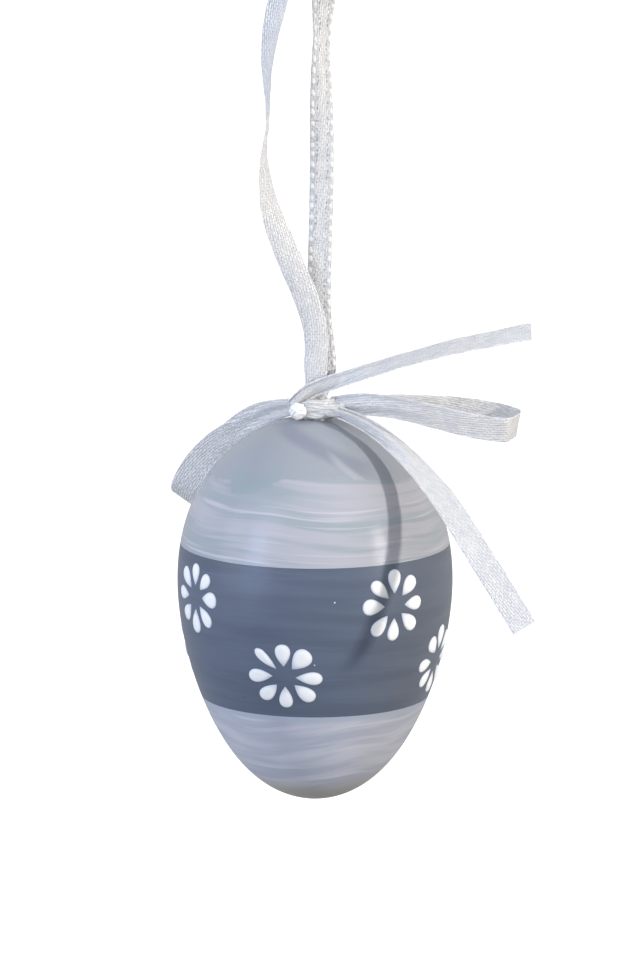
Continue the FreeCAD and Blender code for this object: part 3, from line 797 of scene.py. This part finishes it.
def makeUpperCapPaint():
    # thin grey-blue acrylic: a smooth zone round the top, turned brush strokes below it
    material, tree = blankMaterial("brushed pearl-grey acrylic paint")
    place, parts, azimuth = millimetrePlace(tree)
    broad = brushed(tree, place, 0.04, 0.75, 0.05, 2.5, 3.0)
    thin = brushed(tree, place, 0.05, 2.6, 0.03, 1.5, 11.0)
    jag = brushed(tree, place, 0.5, 2.2, 0.0, 1.0, 21.0)

    # the smooth zone's lower edge, with one lobe reaching down left of the front
    fromLobe = addNode(tree, "Math", {0: azimuth, 1: upperCap["lobeTurn"]}, operation="ADD")
    fromLobe = addNode(tree, "Math", {0: fromLobe}, operation="ABSOLUTE")
    lobe = addNode(tree, "MapRange", {"Value": fromLobe, "From Min": 20.0, "From Max": 3.0,
                                      "To Max": upperCap["lobeDrop"]},
                   interpolation_type="SMOOTHSTEP")
    fromMiddle = parts.outputs["X"]
    sag = addNode(tree, "Math", {0: fromMiddle, 1: fromMiddle}, operation="MULTIPLY")
    sag = addNode(tree, "Math", {0: sag, 1: upperCap["edgeSag"]}, operation="MULTIPLY")
    edge = addNode(tree, "Math", {0: parts.outputs["Z"], 1: lobe}, operation="ADD")
    edge = addNode(tree, "Math", {0: edge, 1: sag}, operation="ADD")
    rough = addNode(tree, "Math", {0: jag, 1: 0.5}, operation="SUBTRACT")
    rough = addNode(tree, "Math", {0: rough, 1: upperCap["edgeRough"]}, operation="MULTIPLY")
    jagged = addNode(tree, "Math", {0: edge, 1: rough}, operation="ADD")
    brushedUpTo, smoothFrom = upperCap["smoothEdge"]
    smoothZone = addNode(tree, "MapRange", {"Value": jagged, "From Min": brushedUpTo,
                                            "From Max": smoothFrom},
                         interpolation_type="SMOOTHSTEP")

    # the smooth zone: a greener stain in the lobe, and painted shade and a painted reflection
    # across it
    nearLobe = addNode(tree, "MapRange", {"Value": fromLobe, "From Min": 24.0, "From Max": 6.0},
                       interpolation_type="SMOOTHSTEP")
    nearEdge = addNode(tree, "MapRange", {"Value": edge, "From Min": -65.0, "From Max": -67.2},
                       interpolation_type="SMOOTHSTEP")
    stain = addNode(tree, "Math", {0: nearLobe, 1: nearEdge}, operation="MULTIPLY")
    # painted shade and painted reflection below the knot
    dark = strokeAcross(tree, parts, upperCap["paintedShadeStroke"])
    pale = strokeAcross(tree, parts, upperCap["paintedReflectionStroke"])
    stained = addNode(tree, "Mix", {"Factor": stain, "A": "#a2a9b4", "B": "#9baab2"},
                      data_type="RGBA")
    withPaintedShade = addNode(tree, "Mix", {"Factor": dark, "A": stained, "B": "#8b91a2"},
                       data_type="RGBA")
    calm = addNode(tree, "Mix", {"Factor": pale, "A": withPaintedShade, "B": "#c6c8d0"},
                   data_type="RGBA")

    # the brushed zone: broad bands with thin pale lines over them
    bandShare = addNode(tree, "MapRange", {"Value": broad, "From Min": 0.40, "From Max": 0.60},
                        interpolation_type="SMOOTHSTEP")
    bands = addNode(tree, "Mix", {"Factor": bandShare, "A": "#a3adb7", "B": "#b7b9c4"},
                    data_type="RGBA")
    lineShare = addNode(tree, "MapRange", {"Value": thin, "From Min": 0.58, "From Max": 0.70,
                                           "To Max": 0.8}, interpolation_type="SMOOTHSTEP")
    lined = addNode(tree, "Mix", {"Factor": lineShare, "A": bands, "B": "#c8c9d3"},
                    data_type="RGBA")
    colour = addNode(tree, "Mix", {"Factor": smoothZone, "A": lined, "B": calm},
                     data_type="RGBA")
    paintSurface(tree, upperCap, colour, place, azimuth, thin)
    return material


belt = {
    # painted shade: this tone darkens the right side
    "paintedShadeTone": (0.95, 0.88, 0.80, 1.0),
    "roughness": 0.34,
    "dustSpread": 0.30,            # specks per mm
    "dustSize": 0.040,             # of the distance between specks
}


def makeBeltPaint():
    # slate acrylic laid on in a turn: faint brushing and a few specks of dust
    material, tree = blankMaterial("turned slate acrylic paint")
    place, _, azimuth = millimetrePlace(tree)
    broad = brushed(tree, place, 0.05, 0.5, 0.02, 1.5, 5.0)
    thin = brushed(tree, place, 0.06, 2.8, 0.0, 1.0, 15.0)
    bandShare = addNode(tree, "MapRange", {"Value": broad, "From Min": 0.35, "From Max": 0.65},
                        interpolation_type="SMOOTHSTEP")
    base = addNode(tree, "Mix", {"Factor": bandShare, "A": "#5a6579", "B": "#616d82"},
                   data_type="RGBA")
    lineShare = addNode(tree, "MapRange", {"Value": thin, "From Min": 0.55, "From Max": 0.75,
                                           "To Max": 0.16}, interpolation_type="SMOOTHSTEP")
    lined = addNode(tree, "Mix", {"Factor": lineShare, "A": base, "B": "#747f93"},
                    data_type="RGBA")

    # dust: some specks dark, some pale
    dust = addNode(tree, "TexVoronoi", {"Vector": place, "Scale": belt["dustSpread"]})
    speck = addNode(tree, "MapRange", {"Value": dust, "From Min": belt["dustSize"],
                                       "From Max": 0.025}, interpolation_type="SMOOTHSTEP")
    dustParts = addNode(tree, "SeparateColor", {0: dust.outputs["Color"]})
    paleShare = addNode(tree, "MapRange", {"Value": dustParts, "From Min": 0.45,
                                           "From Max": 0.55}, interpolation_type="SMOOTHSTEP")
    dustTone = addNode(tree, "Mix", {"Factor": paleShare, "A": "#2e333d", "B": "#e6e8ee"},
                       data_type="RGBA")
    colour = addNode(tree, "Mix", {"Factor": speck, "A": lined, "B": dustTone},
                     data_type="RGBA")
    paintSurface(tree, belt, colour, place, azimuth, thin)
    return material


lowerCap = {
    # painted shade: this tone darkens the right side
    "paintedShadeTone": (0.84, 0.83, 0.81, 1.0),
    "roughness": 0.34,
    "cleanEdge": (-98.75, -98.25),  # below the first all brushed, above the second all clean (mm)
    "paintedShadeTip": (-106.5, -110.3),    # from here down to here painted shade darkens the tip (mm)
}


def makeLowerCapPaint():
    # lilac-grey acrylic: a pale clean edge under the belt, then broad strokes to a tip darkened by
    # painted shade
    material, tree = blankMaterial("brushed lilac-grey acrylic paint")
    place, parts, azimuth = millimetrePlace(tree)
    broad = brushed(tree, place, 0.07, 0.55, -0.12, 4.0, 8.0)
    thin = brushed(tree, place, 0.07, 1.9, -0.06, 3.0, 18.0)
    bandShare = addNode(tree, "MapRange", {"Value": broad, "From Min": 0.38, "From Max": 0.62},
                        interpolation_type="SMOOTHSTEP")
    base = addNode(tree, "Mix", {"Factor": bandShare, "A": "#b0b6c7", "B": "#c4c8d6"},
                   data_type="RGBA")
    lineShare = addNode(tree, "MapRange", {"Value": thin, "From Min": 0.50, "From Max": 0.72,
                                           "To Max": 0.8}, interpolation_type="SMOOTHSTEP")
    colour = addNode(tree, "Mix", {"Factor": lineShare, "A": base, "B": "#cbceda"},
                     data_type="RGBA")
    # the clean edge is paint; the tip's tone is painted shade
    for (out, full), tone in ((lowerCap["cleanEdge"], "#aeb8ca"), (lowerCap["paintedShadeTip"], "#a7a49e")):
        share = addNode(tree, "MapRange", {"Value": parts.outputs["Z"], "From Min": out,
                                           "From Max": full}, interpolation_type="SMOOTHSTEP")
        colour = addNode(tree, "Mix", {"Factor": share, "A": colour, "B": tone},
                         data_type="RGBA")
    paintSurface(tree, lowerCap, colour, place, azimuth, thin)
    return material


def makeCoats():
    hole = angleAtRadius(egg["holeRadius"])
    beltTop = angleAtHeight(egg["beltTopZ"])
    beltBottom = angleAtHeight(egg["beltBottomZ"])
    spinCoat("upperCapPaint", hole, beltTop, egg["capRows"], makeUpperCapPaint(),
             "upper_coat")
    spinCoat("beltPaint", beltTop, beltBottom, egg["beltRows"], makeBeltPaint(),
             "belt_coat")
    spinCoat("lowerCapPaint", beltBottom, math.pi, egg["capRows"], makeLowerCapPaint(),
             "lower_coat")
    print("coats spun")


# Raised paint flowers

flowers = {
    "petals": 8,
    "tip": 0.00152,                # flower's middle to a petal's point
    "far": 0.00455,                # flower's middle to a petal's round end
    "halfWidth": 0.00098,
    "height": 0.00028,
    "sunk": 0.00004,
    # how far hand-placed drops differ, as shares of the sizes above
    "farSpread": (0.95, 1.04),
    "tipSpread": (0.9, 1.12),
    "widthSpread": (0.88, 1.08),
    "heightSpread": (0.85, 1.1),
    "turnSpread": 0.05,            # radians
    "leanSpread": 0.12,
    "dent": 0.16,
    "widestTaper": 0.77,           # the taper where a petal is widest, so it gets its full width
    # the front flower's petals, from the right one anticlockwise: width and reach in mm
    "frontPetals": ((1.8, 4.8), (2.4, 4.75), (2.0, 4.35), (1.3, 5.1),
                    (1.85, 4.8), (1.9, 4.6), (1.75, 4.45), (2.0, 4.8)),
    # each row's height, and its flowers' azimuths from the front in degrees
    "rows": {"upper": (-0.0836, (-59.5, 35.0, 123.0, 213.0)),
             "lower": (-0.0923, (-13.6, 70.0, 164.0, 256.0))},
}


def onEgg(azimuth, height, right, up, lift):
    # a point near (azimuth, height) on the egg, moved right and up over its surface and
    # lifted off it
    angle = angleAtHeight(height)
    radius, _ = outlineAt(angle)
    nextRadius, nextHeight = outlineAt(angle + 0.01)
    rise = math.hypot(nextRadius - radius, nextHeight - height) / 0.01
    angle -= up / rise
    radius, z = outlineAt(angle)
    beyond, beyondZ = outlineAt(angle + 0.001)
    slope = Vector((beyond - radius, beyondZ - z)).normalized()
    turn = azimuth + right / radius
    radial = Vector((math.sin(turn), -math.cos(turn), 0.0))
    outward = radial * -slope.y + Vector((0.0, 0.0, slope.x))
    return radial * radius + Vector((0.0, 0.0, z)) + outward * lift


def addPetal(bm, depthLayer, azimuth, height, direction, scatter, size):
    # a drop of thick paint: a ball squashed, drawn to a point inwards and laid on the egg
    made = bmesh.ops.create_uvsphere(bm, u_segments=28, v_segments=16, radius=1.0)
    far = flowers["far"] * scatter.uniform(*flowers["farSpread"])
    tip = flowers["tip"] * scatter.uniform(*flowers["tipSpread"])
    wide = flowers["halfWidth"] * scatter.uniform(*flowers["widthSpread"])
    if size:
        wide = size[0] * millimetre / 2
        far = size[1] * millimetre
    tall = flowers["height"] * scatter.uniform(*flowers["heightSpread"])
    lean = scatter.uniform(-flowers["leanSpread"], flowers["leanSpread"])
    swirl = scatter.uniform(0, 100)
    for vertex in made["verts"]:
        share = (vertex.co.x + 1) / 2
        taper = math.sqrt(max(share, 0.0))
        along = tip + (far - tip) * share
        across = vertex.co.y * taper / flowers["widestTaper"] * wide + lean * wide * (share - 0.5)
        dome = max(vertex.co.z, 0.0) * taper
        dentPlace = Vector((share * 2.2 + swirl, vertex.co.y * 1.6, swirl))
        dent = noise.noise(dentPlace) * flowers["dent"]
        lift = dome * tall * (1 + dent) if vertex.co.z > 0 else vertex.co.z * flowers["sunk"]
        right = along * math.cos(direction) - across * math.sin(direction)
        up = along * math.sin(direction) + across * math.cos(direction)
        vertex.co = onEgg(azimuth, height, right, up, lift)
        vertex[depthLayer] = dome


def makePetalPaint():
    # thick white paint, dried in drops: soft gloss, bluish where a drop runs thin over slate
    material, tree = blankMaterial("thick white dot paint")
    depth = addNode(tree, "Attribute", attribute_name="paintDepth").outputs["Fac"]
    thickness = addNode(tree, "MapRange", {"Value": depth, "From Min": 0.05, "From Max": 0.55})
    tone = addNode(tree, "Mix", {"Factor": thickness, "A": "#bcc8dc", "B": "#f8fbff"},
                   data_type="RGBA")
    surface = addNode(tree, "BsdfPrincipled", {
        "Base Color": tone, "Roughness": 0.35, "Subsurface Weight": 0.1,
        "Subsurface Radius": (0.0003, 0.0003, 0.0004), "Subsurface Scale": 1.0})
    addNode(tree, "OutputMaterial", {"Surface": surface})
    return material


def makeFlowers():
    petalPaint = makePetalPaint()
    spread = flowers["turnSpread"]
    for row, (height, azimuths) in flowers["rows"].items():
        for number, azimuth in enumerate(azimuths, start=1):
            scatter = random.Random(f"{row}{number}")
            bm = bmesh.new()
            depthLayer = bm.verts.layers.float.new("paintDepth")
            isFront = (row, number) == ("lower", 1)
            for petal in range(flowers["petals"]):
                direction = 2 * math.pi * petal / flowers["petals"]
                direction += scatter.uniform(-spread, spread)
                size = flowers["frontPetals"][petal] if isFront else None
                addPetal(bm, depthLayer, math.radians(azimuth), height, direction, scatter, size)
            bmesh.ops.recalc_face_normals(bm, faces=bm.faces[:])
            piece = pieceFrom(bm, f"flower{row.capitalize()}{number}", [petalPaint])
            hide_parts(f"flower_{row}_{number}")
            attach(piece, "egg")
    print("flowers dotted")


def finishHiddenParts():
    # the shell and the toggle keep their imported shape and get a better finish
    # moulded polystyrene: plain off-white with a faint mottle
    plastic, tree = blankMaterial("moulded white polystyrene")
    place = addNode(tree, "TexCoord").outputs["Object"]
    mottle = addNode(tree, "TexNoise", {"Vector": place, "Scale": 900.0})
    tone = addNode(tree, "Mix", {"Factor": mottle, "A": "#dcdcd8", "B": "#ececea"},
                   data_type="RGBA")
    surface = addNode(tree, "BsdfPrincipled", {"Base Color": tone, "Roughness": 0.5})
    addNode(tree, "OutputMaterial", {"Surface": surface})

    # turned birch: pale wood with grain along the stick, 0.4 mm apart
    wood, tree = blankMaterial("turned birch stick")
    place = addNode(tree, "TexCoord").outputs["Object"]
    drawn = addNode(tree, "Mapping", {"Vector": place, "Scale": (150.0, 2500.0, 2500.0)})
    grain = addNode(tree, "TexNoise", {"Vector": drawn, "Scale": 1.0})
    tone = addNode(tree, "Mix", {"Factor": grain, "A": "#b08f63", "B": "#d9bf94"},
                   data_type="RGBA")
    surface = addNode(tree, "BsdfPrincipled", {"Base Color": tone, "Roughness": 0.6})
    addNode(tree, "OutputMaterial", {"Surface": surface})
    for node, material in (("egg_shell", plastic), ("toggle", wood)):
        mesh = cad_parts[node].data
        mesh.materials.clear()
        mesh.materials.append(material)
    print("hidden parts finished")


setUpStudio()
satinWeave = makeSatinWeave()
picotThread = makePicotThread()
makeRibbons()
makeKnot()
makeCoats()
makeFlowers()
finishHiddenParts()
